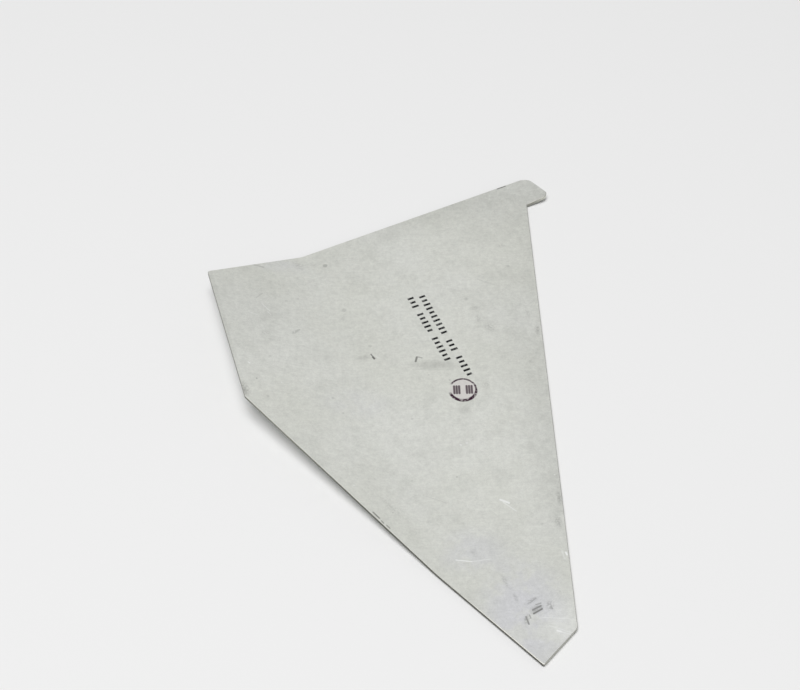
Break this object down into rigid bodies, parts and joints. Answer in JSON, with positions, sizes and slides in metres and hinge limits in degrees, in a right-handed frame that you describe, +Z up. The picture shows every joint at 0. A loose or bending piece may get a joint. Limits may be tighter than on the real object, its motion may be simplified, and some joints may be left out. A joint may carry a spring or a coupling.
{
  "type": "flap fairing",
  "caption": "Flat sheet-metal flap fairing plate with a tapered outline, a wing turned up 15.5 degrees along a soft bend and a small turned-up corner tab.",
  "frame": {"origin": "middle of the plan footprint, on the underside of the flat panel", "axes": "+Z up out of the sheet's outer face, +Y along the long straight edge towards the tab, +X from the wing towards the long straight edge"},
  "size_m": [0.1316, 0.214, 0.0128],
  "materials": {
    "sheet": "matte mill-finish sheet with fine brushing, faint ink marks and light scuffs"
  },
  "bodies": {
    "root": {"fairing_sheet": "sheet"}
  },
  "joints": []
}
